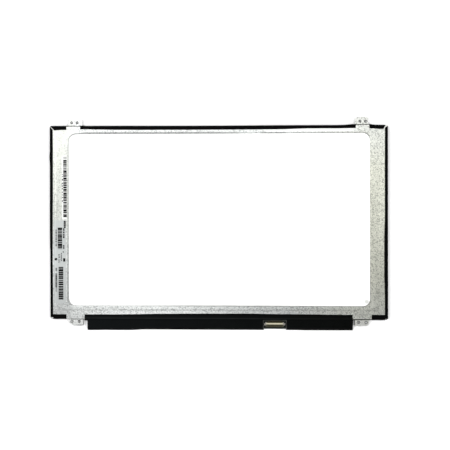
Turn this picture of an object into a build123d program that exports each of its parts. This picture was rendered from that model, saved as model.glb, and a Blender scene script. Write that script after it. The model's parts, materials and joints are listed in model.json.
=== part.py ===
from build123d import *
import os
from math import cos, radians, sin

os.makedirs("parts", exist_ok=True)

# A 15.6-inch class slim liquid-crystal display module, lying on its display face.
# +X is to the right and +Y towards the upper edge when its rear is looked at, +Z points to the rear.
# The display face is at Z = 0. All lengths are in millimetres.

# ---------------------------------------------------------------- driving dimensions
# outline of the body, without ears and circuit board
half_width = 179.75
y_upper = 103.9
y_lower = -101.1
y_ear_tip = 112.3          # tip of the upper ears
y_film_end = -112.3        # lower edge of the film over the circuit board

# edge tape
tape_t = 0.08
tape_bend = 0.28           # inner bend radius
wrap_x = half_width - tape_t
wrap_upper = y_upper - tape_t
wrap_lower = y_lower + tape_t
tape_rear_left, tape_rear_right = 2.4, 3.1
tape_rear_upper, tape_rear_lower = 3.8, 4.8
tape_front_side, tape_front_upper = 5.85, 3.3
mitre_gap = 0.9            # open corner between two tapes, across the mitre

# stack of layers, from the display face to the rear
z_polariser = 0.21
z_cf = 0.61
z_tft = 1.01
z_rear_polariser = 1.19
z_ledge = 1.07
z_ledge_rear = 1.27
z_prism_1 = (1.29, 1.42)
z_prism_2 = (1.42, 1.55)
z_diffuser = (1.55, 1.65)
z_guide = (1.66, 2.21)
z_reflector = (2.22, 2.42)

# stamped back plate
sheet_t = 0.30
z_lip = 2.70               # underside of the sheet at the window's edge
z_margin = 2.72            # underside of the outer margin
z_band = 2.82              # underside of the raised band
z_flange = 1.30            # lower end of the turned-down flanges
step_left, step_right = -174.6, 172.2
step_lower, step_upper = -91.7, 99.3
step_run, step_r = 1.2, 4.0
win_left, win_right = -159.7, 161.0
win_lower, win_upper = -87.0, 95.5
lip_run, win_r = 1.2, 8.0
fold_upper = y_upper + 0.15
fold_lower = y_lower - 0.1
y_lower_left_tip, y_lower_right_tip = y_lower - 7.1, y_lower - 6.5
ear_drop, ear_run = 0.9, 0.75
ear_hole_r = 1.15
upper_pitch, lower_pitch = 6.0, 8.0
upper_hole_y = y_upper + 3.9
lower_hole_y = y_lower - 2.9
upper_hole_x, lower_hole_x = 153.5, 152.7
upper_left_neck, upper_right_neck = (-161.8, -147.5), (146.4, 160.1)
lower_left_neck, lower_right_neck = (-162.2, -143.1), (142.9, 162.4)

# cell
active_w, active_h, active_y = 344.2, 193.5, 1.9
cf_half_w, cf_lower, cf_upper = 174.5, -97.6, 101.2
tft_half_w, tft_lower, tft_upper = 175.1, -100.7, 101.6

# circuit board and its films
board_half_w, board_upper, board_lower = 137.5, -101.9, -111.1
board_t = 0.50
z_board = z_cf
z_top = z_board + board_t
film_t = 0.10
film_left, film_right = -140.0, 142.7
film_left_shoulder = -142.9
film_shoulder_y = y_lower - 1.8
film_start = y_lower + 5.2
plate_recess = 1.0          # the plate's lower edge stands back under the film
notch_left, notch_right, notch_top = 48.4, 72.3, -102.2

# signal socket
socket_x = 60.2
contact_count, contact_pitch = 30, 0.5


def centre(low, high):
    return (low + high) / 2.0


# ---------------------------------------------------------------- stamped back plate
# One ear each: a neck at the margin's level, a slanted jog and a lower flat with two holes.
# A corner is given as (run along the tip, run along the side, rounded or cut straight).
def make_ear(neck, ear, fold, tip, sign, hole_x, hole_y, pitch, left_corner, right_corner):
    lo, hi = z_margin, z_margin + sheet_t
    root = fold - sign * 6.0
    bend = 0.13
    with BuildPart() as ear_part:
        with BuildSketch(Plane.YZ.offset(min(neck[0], ear[0]))):
            Polygon(
                (root, hi),
                (fold, hi),
                (fold + sign * ear_run, hi - ear_drop),
                (tip, hi - ear_drop),
                (tip, lo - ear_drop),
                (fold + sign * (ear_run - bend), lo - ear_drop),
                (fold - sign * bend, lo),
                (root, lo),
                align=None,
            )
        extrude(amount=max(neck[1], ear[1]) - min(neck[0], ear[0]))
        with BuildSketch(Plane.XY.offset(z_margin - 2.0)):
            with BuildLine():
                def corner(x, inward, run_in, run_side, rounded):
                    turns = range(0, 91, 15) if rounded else (0, 90)
                    return [
                        (x + inward * run_in * (1 - cos(radians(a))), tip - sign * run_side * (1 - sin(radians(a))))
                        for a in turns
                    ]

                Polyline(
                    (neck[0], root),
                    (neck[0], fold - sign * 0.2),
                    (ear[0], fold + sign * 0.1),
                    *corner(ear[0], 1, *left_corner),
                    *corner(ear[1], -1, *right_corner)[::-1],
                    (ear[1], fold + sign * 0.1),
                    (neck[1], fold - sign * 0.2),
                    (neck[1], root),
                    close=True,
                )
            make_face()
            with Locations((hole_x - pitch / 2, hole_y), (hole_x + pitch / 2, hole_y)):
                Circle(ear_hole_r, mode=Mode.SUBTRACT)
        extrude(amount=3.0, mode=Mode.INTERSECT)
    return ear_part.part


ears = [
    make_ear(upper_left_neck, (-159.6, -145.2), fold_upper, y_ear_tip, 1, -upper_hole_x, upper_hole_y, upper_pitch, (2.2, 2.2, True), (5.2, 3.0, True)),
    make_ear(upper_right_neck, (145.2, 158.9), fold_upper, y_ear_tip, 1, upper_hole_x, upper_hole_y, upper_pitch, (5.2, 3.0, True), (2.2, 2.2, True)),
    make_ear(lower_left_neck, (-159.9, -143.8), fold_lower, y_lower_left_tip, -1, -lower_hole_x, lower_hole_y, lower_pitch, (4.6, 3.0, False), (2.3, 2.3, True)),
    make_ear(lower_right_neck, (144.1, 159.7), fold_lower, y_lower_right_tip, -1, lower_hole_x, lower_hole_y, lower_pitch, (1.9, 1.9, True), (3.0, 3.0, True)),
]

# Everything under the rear surface of the sheet, ...
with BuildPart() as plate_over:
    with BuildSketch(Plane.XY.offset(2.0)):
        with Locations((0, centre(wrap_lower, wrap_upper - sheet_t))):
            RectangleRounded(2 * (wrap_x - sheet_t), wrap_upper - sheet_t - wrap_lower, 1.4)
    extrude(amount=z_margin + sheet_t - 2.0)
    for lift, inset in ((z_margin + sheet_t, 0.0), (z_band + sheet_t, step_run)):
        with BuildSketch(Plane.XY.offset(lift)):
            with Locations((centre(step_left, step_right), centre(step_lower, step_upper))):
                RectangleRounded(step_right - step_left - 2 * inset, step_upper - step_lower - 2 * inset, step_r - inset)
    loft(ruled=True)
    for lift, grow in ((z_lip + sheet_t, 0.0), (z_band + sheet_t, lip_run)):
        with BuildSketch(Plane.XY.offset(lift)):
            with Locations((centre(win_left, win_right), centre(win_lower, win_upper))):
                RectangleRounded(win_right - win_left + 2 * grow, win_upper - win_lower + 2 * grow, win_r + grow)
    loft(ruled=True, mode=Mode.SUBTRACT)
    with BuildSketch(Plane.XY.offset(1.9)):
        with Locations((centre(win_left, win_right), centre(win_lower, win_upper))):
            RectangleRounded(win_right - win_left, win_upper - win_lower, win_r)
    extrude(amount=z_lip + sheet_t + 0.05 - 1.9, mode=Mode.SUBTRACT)

# ... and everything under its front surface.
with BuildPart() as plate_under:
    with BuildSketch(Plane.XY.offset(1.8)):
        with Locations((0, centre(wrap_lower, wrap_upper))):
            Rectangle(2 * wrap_x + 4, wrap_upper - wrap_lower + 4)
    extrude(amount=z_margin - 1.8)
    for lift, inset in ((z_margin, 0.10), (z_band, step_run + 0.10)):
        with BuildSketch(Plane.XY.offset(lift)):
            with Locations((centre(step_left, step_right), centre(step_lower, step_upper))):
                RectangleRounded(step_right - step_left - 2 * inset, step_upper - step_lower - 2 * inset, step_r - inset)
    loft(ruled=True)
    for lift, grow in ((2 * z_lip - z_band, -lip_run), (z_band, lip_run)):
        with BuildSketch(Plane.XY.offset(lift)):
            with Locations((centre(win_left, win_right), centre(win_lower, win_upper))):
                RectangleRounded(win_right - win_left + 2 * grow, win_upper - win_lower + 2 * grow, win_r + grow)
    loft(ruled=True, mode=Mode.SUBTRACT)

upper_runs = [(-178.0, -162.6), (-146.7, 145.6), (160.9, 178.0)]
hook_y = (-70.0, 0.0, 70.0)
hook_x = (-110.0, -55.0, 0.0, 55.0, 110.0)
hook_len, hook_z = 6.0, (1.75, 2.25)

with BuildPart() as back_plate:
    add(plate_over.part)
    add(plate_under.part, mode=Mode.SUBTRACT)
    # turned-down flanges on three sides, with a round bend
    for side in (-1, 1):
        with BuildSketch(Plane.XZ.offset(-102.0)):
            with BuildLine():
                Polyline(
                    (side * (wrap_x - sheet_t), z_margin + sheet_t),
                    (side * (wrap_x - sheet_t), z_flange),
                    (side * wrap_x, z_flange),
                    (side * wrap_x, z_margin),
                )
                RadiusArc(
                    (side * wrap_x, z_margin),
                    (side * (wrap_x - sheet_t), z_margin + sheet_t),
                    sheet_t if side < 0 else -sheet_t,
                )
            make_face()
        extrude(amount=201.2)
    for run in upper_runs:
        with BuildSketch(Plane.YZ.offset(run[0])):
            with BuildLine():
                Polyline(
                    (wrap_upper - sheet_t, z_margin + sheet_t),
                    (wrap_upper - sheet_t, z_flange),
                    (wrap_upper, z_flange),
                    (wrap_upper, z_margin),
                )
                RadiusArc((wrap_upper, z_margin), (wrap_upper - sheet_t, z_margin + sheet_t), -sheet_t)
            make_face()
        extrude(amount=run[1] - run[0])
    # slots for the hooks of the moulded frame
    for side in (-1, 1):
        for y in hook_y:
            with Locations((side * (wrap_x - sheet_t / 2), y, centre(*hook_z))):
                Box(1.2, hook_len + 0.4, hook_z[1] - hook_z[0] + 0.2, mode=Mode.SUBTRACT)
    for x in hook_x:
        with Locations((x, wrap_upper - sheet_t / 2, centre(*hook_z))):
            Box(hook_len + 0.4, 1.2, hook_z[1] - hook_z[0] + 0.2, mode=Mode.SUBTRACT)
    # lower edge stands back where the film bends down to the board
    with Locations((centre(lower_left_neck[1], lower_right_neck[0]), y_lower + plate_recess - 5.0, z_margin)):
        Box(lower_right_neck[0] - lower_left_neck[1], 10.0, 4.0, mode=Mode.SUBTRACT)
    for ear in ears:
        add(ear)

# ---------------------------------------------------------------- moulded frame
frame_gap = 0.07
frame_x = wrap_x - sheet_t - frame_gap
frame_upper = wrap_upper - sheet_t - frame_gap

with BuildPart() as mould_frame:
    # front rim on three sides of the cell, open below where the driver films pass
    with BuildSketch(Plane.XY.offset(z_polariser)):
        with Locations((0, centre(wrap_lower, wrap_upper))):
            RectangleRounded(2 * wrap_x, wrap_upper - wrap_lower, 1.6)
        with Locations((0, centre(-106.0, 101.9))):
            Rectangle(2 * 175.4, 101.9 + 106.0, mode=Mode.SUBTRACT)
    extrude(amount=z_ledge - z_polariser)
    rim_edges = mould_frame.edges().filter_by(
        lambda e: abs(e.center().Z - z_polariser) < 1e-4
        and abs(abs(e.center().X) - 175.4) > 1e-3
        and abs(e.center().Y - 101.9) > 1e-3
    )
    fillet(rim_edges, radius=0.30)
    # thin ledge that carries the cell on one side and holds the films on the other
    with BuildSketch(Plane.XY.offset(z_ledge)):
        with Locations((0, centre(wrap_lower, wrap_upper))):
            RectangleRounded(2 * wrap_x, wrap_upper - wrap_lower, 1.6)
        with Locations((0, centre(-96.6, 100.4))):
            RectangleRounded(2 * 173.8, 100.4 + 96.6, 0.8, mode=Mode.SUBTRACT)
    extrude(amount=z_ledge_rear - z_ledge)
    # wall around the light guide, inside the plate's flanges
    with BuildSketch(Plane.XY.offset(z_ledge_rear)):
        with Locations((0, centre(wrap_lower, frame_upper))):
            RectangleRounded(2 * frame_x, frame_upper - wrap_lower, 1.2)
        with Locations((0, centre(-98.2, 101.6))):
            RectangleRounded(2 * 175.9, 101.6 + 98.2, 0.6, mode=Mode.SUBTRACT)
        # recesses for the tabs of the films
        with Locations((-90.0, 101.8), (90.0, 101.8)):
            Rectangle(13.0, 1.4, mode=Mode.SUBTRACT)
    extrude(amount=z_margin - z_ledge_rear)
    # lower bar is lower, so that the light strip and its tail pass over it
    with Locations((0, centre(-102.0, -98.0), centre(2.20, 2.80))):
        Box(2 * 176.6, 4.0, 0.60, mode=Mode.SUBTRACT)
    # hooks that catch in the plate's flange slots
    for side in (-1, 1):
        for y in hook_y:
            with Locations((side * (frame_x + 0.12), y, centre(*hook_z))):
                Box(0.36, hook_len, hook_z[1] - hook_z[0])
    for x in hook_x:
        with Locations((x, frame_upper + 0.12, centre(*hook_z))):
            Box(hook_len, 0.36, hook_z[1] - hook_z[0])

# ---------------------------------------------------------------- backlight sheets
sheet_lower, sheet_upper, sheet_half_w = -96.6, 101.1, 175.4


def make_film(z_range):
    with BuildPart() as film:
        with BuildSketch(Plane.XY.offset(z_range[0])):
            with Locations((0, centre(sheet_lower, sheet_upper))):
                Rectangle(2 * sheet_half_w, sheet_upper - sheet_lower)
            with Locations((-90.0, 101.6), (90.0, 101.6)):
                Rectangle(11.6, 1.2)
        extrude(amount=z_range[1] - z_range[0])
    return film.part


upper_prism_film = make_film(z_prism_1)
lower_prism_film = make_film(z_prism_2)
diffuser_film = make_film(z_diffuser)

with BuildPart() as light_guide:
    with BuildSketch(Plane.XY.offset(z_guide[0])):
        with Locations((0, centre(-96.95, 101.1))):
            Rectangle(2 * 175.5, 101.1 + 96.95)
    extrude(amount=z_guide[1] - z_guide[0])
    chamfer(light_guide.edges().filter_by(Axis.Z), length=0.5)

with BuildPart() as reflector_sheet:
    with BuildSketch(Plane.XY.offset(z_reflector[0])):
        with Locations((0, centre(-95.95, 101.2))):
            RectangleRounded(2 * 175.5, 101.2 + 95.95, 0.8)
    extrude(amount=z_reflector[1] - z_reflector[0])

# ---------------------------------------------------------------- light strip at the lower edge
led_count, led_pitch = 36, 9.5
led_w, led_d = 3.0, 0.9
led_z = (1.63, 2.23)
flex_t = 0.12

with BuildPart() as led_chips:
    with Locations((0, -97.5, centre(*led_z))):
        with GridLocations(led_pitch, 1.0, led_count, 1):
            Box(led_w, led_d, led_z[1] - led_z[0])

tail_x = (-122.0, -114.0)
with BuildPart() as led_flex:
    with BuildSketch(Plane.XY.offset(led_z[1])):
        with Locations((0, centre(-100.7, -96.05))):
            RectangleRounded(2 * 173.0, 100.7 - 96.05, 0.5)
    extrude(amount=flex_t)
    # tail that bends down to the board
    with BuildSketch(Plane.YZ.offset(tail_x[0])):
        with BuildLine():
            FilletPolyline((-99.5, 2.23), (-101.4, 2.23), (-103.0, 1.46), (-105.2, 1.46), radius=0.6)
            offset(amount=flex_t, side=Side.RIGHT)
        make_face()
    extrude(amount=tail_x[1] - tail_x[0])

with BuildPart() as light_strip_tape:
    with BuildSketch(Plane.XY.offset(led_z[1] + flex_t)):
        with Locations((0, centre(-99.9, -96.2))):
            RectangleRounded(2 * 172.0, 99.9 - 96.2, 0.4)
    extrude(amount=z_margin - led_z[1] - flex_t)

# ---------------------------------------------------------------- liquid-crystal cell
with BuildPart() as cell_tape:
    with BuildSketch(Plane.XY.offset(z_tft)):
        with Locations((0, centre(-100.5, 101.5))):
            Rectangle(2 * 175.0, 101.5 + 100.5)
        with Locations((0, centre(-96.6, 100.4))):
            Rectangle(2 * 173.8, 100.4 + 96.6, mode=Mode.SUBTRACT)
    extrude(amount=z_ledge - z_tft)

with BuildPart() as rear_polariser:
    with BuildSketch(Plane.XY.offset(z_tft)):
        with Locations((0, active_y)):
            Rectangle(active_w + 2.8, active_h + 2.8)
    extrude(amount=z_rear_polariser - z_tft)

with BuildPart() as tft_glass:
    with BuildSketch(Plane.XY.offset(z_cf)):
        with Locations((0, centre(tft_lower, tft_upper))):
            Rectangle(2 * tft_half_w, tft_upper - tft_lower)
    extrude(amount=z_tft - z_cf)
    chamfer(tft_glass.edges().filter_by(Axis.Z), length=0.6)

with BuildPart() as colour_filter_glass:
    with BuildSketch(Plane.XY.offset(z_polariser)):
        with Locations((0, centre(cf_lower, cf_upper))):
            Rectangle(2 * cf_half_w, cf_upper - cf_lower)
    extrude(amount=z_cf - z_polariser)
    chamfer(colour_filter_glass.edges().filter_by(Axis.Z), length=0.6)

with BuildPart() as front_polariser:
    with BuildSketch(Plane.XY):
        with Locations((0, active_y)):
            RectangleRounded(active_w + 2.4, active_h + 2.4, 0.5)
    extrude(amount=z_polariser)

# ---------------------------------------------------------------- driver films and their chips
driver_x = (-103.0, -34.0, 26.0, 103.0)
driver_w, driver_t = 38.0, 0.06
with BuildPart() as driver_films:
    with BuildSketch(Plane.XY.offset(z_cf - driver_t)):
        with Locations(*[(x, centre(-103.5, -98.1)) for x in driver_x]):
            RectangleRounded(driver_w, 103.5 - 98.1, 0.4)
    extrude(amount=driver_t)

with BuildPart() as driver_chips:
    with BuildSketch(Plane.XY.offset(0.27)):
        with Locations(*[(x, -101.6) for x in driver_x]):
            Rectangle(20.0, 1.1)
    extrude(amount=z_cf - driver_t - 0.27)

# ---------------------------------------------------------------- circuit board
with BuildPart() as circuit_board:
    with BuildSketch(Plane.XY.offset(z_board)):
        with Locations((0, centre(board_lower, board_upper))):
            RectangleRounded(2 * board_half_w, board_upper - board_lower, 0.8)
        # half-round notches left by the panel's breakaway tabs
        with Locations((-80.0, board_upper), (80.0, board_upper)):
            Circle(0.8, mode=Mode.SUBTRACT)
    extrude(amount=board_t)


def chip_body(x, y, w, d, h):
    with BuildPart() as chip:
        with Locations((x, y, z_top + h / 2)):
            Box(w, d, h)
        chamfer(chip.edges().filter_by(Axis.Z), length=0.12)
        chamfer(chip.faces().sort_by(Axis.Z)[-1].edges(), length=0.08)
    return chip.part


timing_controller = chip_body(-8.0, -106.9, 6.0, 6.0, 0.80)
bias_supply_chip = chip_body(-52.0, -106.8, 4.0, 4.0, 0.75)
backlight_driver_chip = chip_body(-96.0, -106.8, 4.0, 4.0, 0.75)
gamma_buffer_chip = chip_body(96.0, -106.8, 5.0, 5.0, 0.75)
memory_chip = chip_body(14.0, -105.8, 3.0, 2.0, 0.60)

with BuildPart() as power_inductors:
    for x, size in ((-103.6, 5.0), (-60.0, 4.0), (-44.2, 4.0)):
        with Locations((x, -106.8, z_top + 0.42)):
            Box(size, size, 0.84)
    chamfer(power_inductors.edges().filter_by(Axis.Z), length=0.7)

capacitor_sites = [(-110.0, -105.0), (-110.0, -106.9), (-110.0, -108.8), (-90.6, -105.0), (-90.6, -108.8),
                   (-64.8, -105.0), (-64.8, -108.2), (-48.6, -109.5), (-40.2, -105.0), (-40.2, -106.9), (-40.2, -108.8),
                   (-16.0, -105.0), (-16.0, -107.0), (-16.0, -109.0), (0.0, -105.0), (0.0, -107.0), (0.0, -109.0),
                   (36.0, -105.0), (36.0, -107.0), (36.0, -109.0), (80.0, -105.0), (80.0, -107.2), (103.0, -105.0), (103.0, -108.8)]
with BuildPart() as ceramic_capacitors:
    with Locations(*[(x, y, z_top + 0.40) for x, y in capacitor_sites]):
        Box(1.6, 0.8, 0.80)

resistor_sites = [(-86.0, -104.8), (-86.0, -106.2), (-86.0, -107.6), (-74.0, -105.0), (-74.0, -106.6), (-30.0, -104.8),
                  (-30.0, -106.4), (-30.0, -108.0), (-24.0, -105.2), (-24.0, -106.8), (-24.0, -108.4), (7.0, -104.8),
                  (7.0, -106.4), (7.0, -108.0), (20.0, -105.0), (20.0, -106.6), (26.0, -105.0), (26.0, -106.6),
                  (86.0, -104.8), (86.0, -106.4), (86.0, -108.0), (112.0, -105.0), (112.0, -106.6), (120.0, -105.8)]
with BuildPart() as chip_resistors:
    with Locations(*[(x, y, z_top + 0.175) for x, y in resistor_sites]):
        Box(1.0, 0.5, 0.35)

with BuildPart() as rectifier_diode:
    with Locations((-80.0, -106.8, z_top + 0.41)):
        Box(3.8, 2.4, 0.82)
    chamfer(rectifier_diode.faces().sort_by(Axis.Z)[-1].edges(), length=0.2)

with BuildPart() as input_fuse:
    with Locations((42.0, -106.8, z_top + 0.25)):
        Box(1.6, 0.8, 0.50)

# socket for the light strip's tail, with its flip latch
flex_socket_y = (-107.6, -103.8)
with BuildPart() as flex_socket:
    with Locations((centre(*tail_x), centre(*flex_socket_y), z_top + 0.42)):
        Box(10.4, flex_socket_y[1] - flex_socket_y[0], 0.84)
    with Locations((centre(*tail_x), centre(-105.5, -103.4), 1.52)):
        Box(8.3, 2.1, 0.20, mode=Mode.SUBTRACT)
    with Locations((centre(*tail_x), -107.05, z_top + 0.70)):
        Box(9.2, 1.3, 0.44, mode=Mode.SUBTRACT)

with BuildPart() as flex_socket_latch:
    with Locations((centre(*tail_x), -107.02, z_top + 0.66)):
        Box(9.0, 1.1, 0.32)
    chamfer(flex_socket_latch.edges().filter_by(Axis.X).sort_by(Axis.Z)[-2:], length=0.12)

# ---------------------------------------------------------------- signal socket, mouth towards the lower edge
floor_y = (-109.2, -103.9)
bridge_y = (-106.9, -104.9)
with BuildPart() as signal_socket_body:
    # floor
    with Locations((socket_x, centre(*floor_y), z_top + 0.15)):
        Box(19.2, floor_y[1] - floor_y[0], 0.30)
    # end blocks
    with Locations((socket_x - 8.75, centre(*floor_y), z_top + 0.50), (socket_x + 8.75, centre(*floor_y), z_top + 0.50)):
        Box(1.7, floor_y[1] - floor_y[0], 1.00)
    # bridge over the contacts
    with Locations((socket_x, centre(*bridge_y), z_top + 0.95)):
        Box(16.2, bridge_y[1] - bridge_y[0], 0.22)
    # wall behind the mouth
    with Locations((socket_x, bridge_y[1] - 0.3, z_top + 0.65)):
        Box(16.2, 0.6, 0.42)

contact_w, contact_t = 0.20, 0.12
with BuildPart() as one_contact:
    with BuildSketch(Plane.YZ.offset(-contact_w / 2)):
        with BuildLine():
            Polyline(
                (-109.0, z_top + 0.30),
                (-109.0, z_top + 0.42),
                (-103.72, z_top + 0.42),
                (-103.72, z_top + contact_t),
                (-102.95, z_top + contact_t),
                (-102.95, z_top),
                (-103.84, z_top),
                (-103.84, z_top + 0.30),
                close=True,
            )
        make_face()
    extrude(amount=contact_w)

with BuildPart() as signal_socket_contacts:
    with Locations((socket_x, 0, 0)):
        with GridLocations(contact_pitch, 1.0, contact_count, 1):
            add(one_contact.part)

# bent metal brackets that hold the socket's ends to the board
bracket_y = (-107.8, -103.9)
with BuildPart() as signal_socket_brackets:
    for side in (-1, 1):
        x_in = socket_x + side * 9.65
        with Locations((x_in + side * 0.1, centre(*bracket_y), z_top + 0.5)):
            Box(0.20, bracket_y[1] - bracket_y[0], 1.00)
        with Locations((x_in + side * 0.75, centre(*bracket_y) - 0.4, z_top + 0.075)):
            Box(1.50, 2.2, 0.15)
        with Locations((x_in - side * 0.35, centre(*bracket_y), z_top + 1.095)):
            Box(1.10, 3.0, 0.15)
        with Locations((x_in + side * 0.1, centre(*bracket_y), z_top + 1.06)):
            Box(0.20, 3.0, 0.22)

# ---------------------------------------------------------------- black film over the board, front shading tape
with BuildPart() as board_cover_film:
    with BuildSketch(Plane.YZ.offset(film_left_shoulder)):
        with BuildLine():
            FilletPolyline(
                (film_start, z_margin + sheet_t),
                (-100.65, z_margin + sheet_t),
                (-102.65, 2.07),
                (-110.45, 2.07),
                (-111.65, z_cf - driver_t),
                (y_film_end, z_cf - driver_t),
                radius=0.5,
            )
            offset(amount=film_t, side=Side.RIGHT)
        make_face()
    extrude(amount=film_right - film_left_shoulder)
    # narrower below the shoulder
    with Locations((centre(film_left_shoulder - 2.0, film_left), centre(film_shoulder_y, -116.0), 2.0)):
        Box(film_left - film_left_shoulder + 2.0, 116.0 + film_shoulder_y, 5.0, mode=Mode.SUBTRACT)
    # notch around the signal socket, open below
    with BuildSketch(Plane.XY):
        with Locations((centre(notch_left, notch_right), centre(-116.0, notch_top))):
            RectangleRounded(notch_right - notch_left, 116.0 + notch_top, 0.8)
    extrude(amount=5.0, mode=Mode.SUBTRACT)

shade_half_w = 173.5
with BuildPart() as front_shading_tape:
    with BuildSketch(Plane.YZ.offset(-shade_half_w)):
        with BuildLine():
            FilletPolyline(
                (-96.7, z_polariser - tape_t),
                (-102.7, z_polariser - tape_t),
                (-104.4, z_cf - driver_t - tape_t),
                (y_film_end, z_cf - driver_t - tape_t),
                radius=0.8,
            )
            offset(amount=tape_t, side=Side.RIGHT)
        make_face()
    extrude(amount=2 * shade_half_w)
    for x_from, x_to in ((-180.0, film_left), (film_right, 180.0)):
        with Locations((centre(x_from, x_to), centre(-100.6, -116.0), 0.5)):
            Box(x_to - x_from, 116.0 - 100.6, 3.0, mode=Mode.SUBTRACT)
    with Locations((centre(notch_left, notch_right), centre(-110.9, -116.0), 0.5)):
        Box(notch_right - notch_left, 116.0 - 110.9, 3.0, mode=Mode.SUBTRACT)

# ---------------------------------------------------------------- edge tapes
z_tape_front = z_polariser - tape_t
z_tape_rear = z_margin + sheet_t + tape_t


def mitre(corner_x, corner_y, keep_x, keep_y):
    """Prism that clears one side of the diagonal at a corner: keep_x, keep_y point into the kept tape."""
    ux, uy = (1.0 if corner_x < 0 else -1.0), (1.0 if corner_y < 0 else -1.0)
    ax, ay = corner_x - ux * 4.0, corner_y - uy * 4.0
    bx, by = corner_x + ux * 9.0, corner_y + uy * 9.0
    ox, oy = -keep_x * 20.0, -keep_y * 20.0
    sx, sy = keep_x * mitre_gap * 0.7071, keep_y * mitre_gap * 0.7071
    with BuildPart() as wedge:
        with BuildSketch(Plane.XY.offset(-1.0)):
            Polygon(
                (ax + sx, ay + sy),
                (bx + sx, by + sy),
                (bx + sx + ox, by + sy + oy),
                (ax + sx + ox, ay + sy + oy),
                align=None,
            )
        extrude(amount=6.0)
    return wedge.part


def make_side_tape(side, rear_lip):
    with BuildPart() as tape:
        with BuildSketch(Plane.XZ.offset(-103.8)):
            with BuildLine():
                outer = FilletPolyline(
                    (side * (half_width - tape_front_side), z_tape_front),
                    (side * half_width, z_tape_front),
                    (side * half_width, z_tape_rear),
                    (side * (half_width - rear_lip), z_tape_rear),
                    radius=tape_bend + tape_t,
                )
                inner = FilletPolyline(
                    (side * (half_width - tape_front_side), z_tape_front + tape_t),
                    (side * wrap_x, z_tape_front + tape_t),
                    (side * wrap_x, z_tape_rear - tape_t),
                    (side * (half_width - rear_lip), z_tape_rear - tape_t),
                    radius=tape_bend,
                )
                Line(outer @ 0, inner @ 0)
                Line(outer @ 1, inner @ 1)
            make_face()
        extrude(amount=204.7)
        add(mitre(side * half_width, y_upper, 0, -1), mode=Mode.SUBTRACT)
        add(mitre(side * half_width, y_lower, 0, 1), mode=Mode.SUBTRACT)
    return tape.part


edge_tape_left = make_side_tape(-1, tape_rear_left)
edge_tape_right = make_side_tape(1, tape_rear_right)

with BuildPart() as edge_tape_upper:
    with BuildSketch(Plane.YZ.offset(-179.6)):
        with BuildLine():
            outer = FilletPolyline(
                (y_upper - tape_front_upper, z_tape_front),
                (y_upper, z_tape_front),
                (y_upper, z_tape_rear),
                (y_upper - tape_rear_upper, z_tape_rear),
                radius=tape_bend + tape_t,
            )
            inner = FilletPolyline(
                (y_upper - tape_front_upper, z_tape_front + tape_t),
                (wrap_upper, z_tape_front + tape_t),
                (wrap_upper, z_tape_rear - tape_t),
                (y_upper - tape_rear_upper, z_tape_rear - tape_t),
                radius=tape_bend,
            )
            Line(outer @ 0, inner @ 0)
            Line(outer @ 1, inner @ 1)
        make_face()
    extrude(amount=359.2)
    for neck in (upper_left_neck, upper_right_neck):
        with Locations((centre(*neck), y_upper - 1.5, 2.9)):
            Box(neck[1] - neck[0] + 0.5, 8.0, 1.1, mode=Mode.SUBTRACT)
    add(mitre(-half_width, y_upper, 1, 0), mode=Mode.SUBTRACT)
    add(mitre(half_width, y_upper, -1, 0), mode=Mode.SUBTRACT)


def make_lower_tape(x_from, x_to, corner):
    with BuildPart() as tape:
        with BuildSketch(Plane.YZ.offset(x_from)):
            Polygon(
                (y_lower + tape_rear_lower, z_tape_rear),
                (y_lower + 0.05, z_tape_rear),
                (y_lower, z_tape_rear - 0.05),
                (y_lower, 1.25),
                (wrap_lower, 1.25),
                (wrap_lower, z_tape_rear - tape_t),
                (y_lower + tape_rear_lower, z_tape_rear - tape_t),
                align=None,
            )
        extrude(amount=x_to - x_from)
        add(mitre(corner * half_width, y_lower, -corner, 0), mode=Mode.SUBTRACT)
    return tape.part


edge_tape_lower_left = make_lower_tape(-179.0, lower_left_neck[0] - 0.2, -1)
edge_tape_lower_right = make_lower_tape(lower_right_neck[1] + 0.2, 179.0, 1)

# ---------------------------------------------------------------- labels on the left band
label_t = 0.06
z_band_top = z_band + sheet_t
with BuildPart() as rating_label:
    # wide label, draped over the step of the plate
    with BuildSketch(Plane.XZ.offset(84.7)):
        Polygon(
            (-175.8, z_margin + sheet_t),
            (step_left, z_margin + sheet_t),
            (step_left + step_run, z_band_top),
            (-163.0, z_band_top),
            (-163.0, z_band_top + label_t),
            (step_left + step_run - 0.01, z_band_top + label_t),
            (step_left - 0.01, z_margin + sheet_t + label_t),
            (-175.8, z_margin + sheet_t + label_t),
            align=None,
        )
    extrude(amount=-88.5)

with BuildPart() as serial_label:
    with BuildSketch(Plane.XY.offset(z_band_top)):
        with Locations((centre(-167.1, -161.8), centre(5.1, 72.9))):
            RectangleRounded(5.3, 67.8, 0.4)
    extrude(amount=label_t)

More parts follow.
